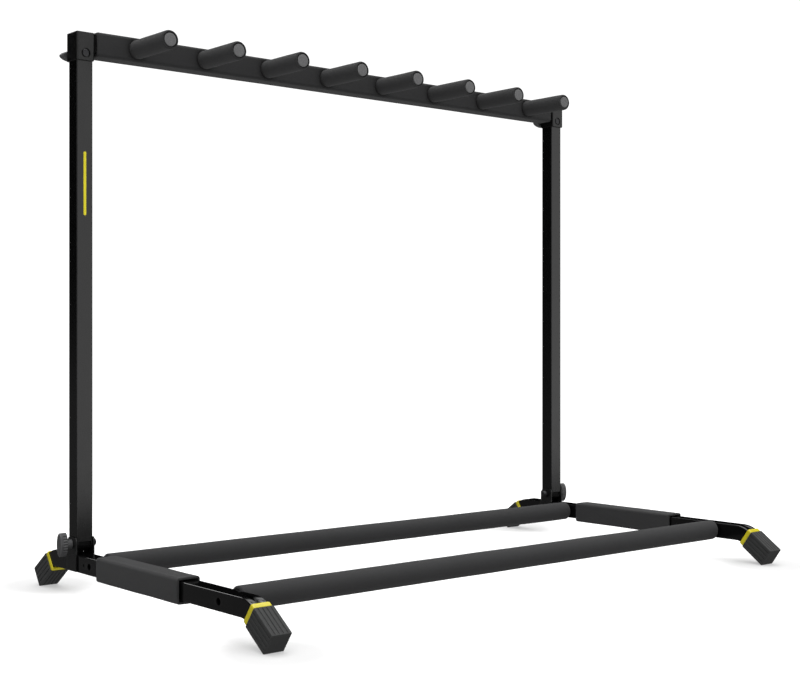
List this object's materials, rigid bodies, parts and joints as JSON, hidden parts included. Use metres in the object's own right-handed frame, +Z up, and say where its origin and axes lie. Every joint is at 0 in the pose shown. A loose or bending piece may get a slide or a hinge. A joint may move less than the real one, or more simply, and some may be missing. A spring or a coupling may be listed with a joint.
{
  "type": "guitar rack",
  "caption": "Floor rack for a row of guitars: padded top bar with foam neck pegs on folding posts, over foam-covered lower rails and bent legs with rubber feet.",
  "frame": {"origin": "on the floor, midway between the two legs and midway between the front and rear feet", "axes": "+X to the right along the rack, +Y to the rear (the posts' side), +Z up; the pegs point to the front, -Y"},
  "size_m": [1.0534, 0.624, 0.8147],
  "materials": {
    "post_steel": "satin",
    "leg_steel": "gloss",
    "foam": "matte",
    "foot_rubber": "matte",
    "collar": "satin",
    "knob": "matte",
    "peg_disc": "matte",
    "bolt": "satin"
  },
  "bodies": {
    "base": {"foot_collar_front_left": "collar", "foot_collar_front_right": "collar", "foot_collar_rear_left": "collar", "foot_collar_rear_right": "collar", "foot_front_left": "foot_rubber", "foot_front_right": "foot_rubber", "foot_rear_left": "foot_rubber", "foot_rear_right": "foot_rubber", "leg_left": "leg_steel", "leg_pad_left": "foam", "leg_pad_right": "foam", "leg_right": "leg_steel", "pivot_bolt_left": "bolt", "pivot_bolt_right": "bolt", "post_bracket_left": "leg_steel", "post_bracket_right": "leg_steel", "rail_bolt_front_left": "bolt", "rail_bolt_front_right": "bolt", "rail_bolt_rear_left": "bolt", "rail_bolt_rear_right": "bolt", "rail_foam_front": "foam", "rail_foam_rear": "foam", "rail_plug_front_left": "knob", "rail_plug_front_right": "knob", "rail_plug_rear_left": "knob", "rail_plug_rear_right": "knob", "rail_tube_front": "leg_steel", "rail_tube_rear": "leg_steel"},
    "upper_frame": {"bar_foam": "foam", "corner_bolt_left": "bolt", "corner_bolt_right": "bolt", "corner_cap_left": "post_steel", "corner_cap_right": "post_steel", "peg_core_1": "peg_disc", "peg_core_2": "peg_disc", "peg_core_3": "peg_disc", "peg_core_4": "peg_disc", "peg_core_5": "peg_disc", "peg_core_6": "peg_disc", "peg_core_7": "peg_disc", "peg_core_8": "peg_disc", "peg_foam_1": "foam", "peg_foam_2": "foam", "peg_foam_3": "foam", "peg_foam_4": "foam", "peg_foam_5": "foam", "peg_foam_6": "foam", "peg_foam_7": "foam", "peg_foam_8": "foam", "post_left": "post_steel", "post_plug_left": "knob", "post_plug_right": "knob", "post_right": "post_steel", "top_bar": "post_steel"},
    "side_knob_left": {"side_knob_left": "knob"},
    "side_knob_right": {"side_knob_right": "knob"},
    "wing_knob_left": {"wing_knob_left": "knob"},
    "wing_knob_right": {"wing_knob_right": "knob"}
  },
  "joints": [
    {"name": "frame_fold", "type": "hinge", "parent": "base", "child": "upper_frame", "pos_m": [0, 0.19, 0.0745], "axis": [1, 0, 0], "range_deg": [0, 87]},
    {"name": "side_knob_turn_left", "type": "hinge", "parent": "base", "child": "side_knob_left", "pos_m": [-0.4917, 0.19, 0.0745], "axis": [1, 0, 0], "continuous": true},
    {"name": "side_knob_turn_right", "type": "hinge", "parent": "base", "child": "side_knob_right", "pos_m": [0.4917, 0.19, 0.0745], "axis": [1, 0, 0], "continuous": true},
    {"name": "wing_knob_turn_left", "type": "hinge", "parent": "upper_frame", "child": "wing_knob_left", "pos_m": [-0.4917, 0.19, 0.7817], "axis": [0, 1, 0], "continuous": true},
    {"name": "wing_knob_turn_right", "type": "hinge", "parent": "upper_frame", "child": "wing_knob_right", "pos_m": [0.4917, 0.19, 0.7817], "axis": [0, 1, 0], "continuous": true}
  ]
}
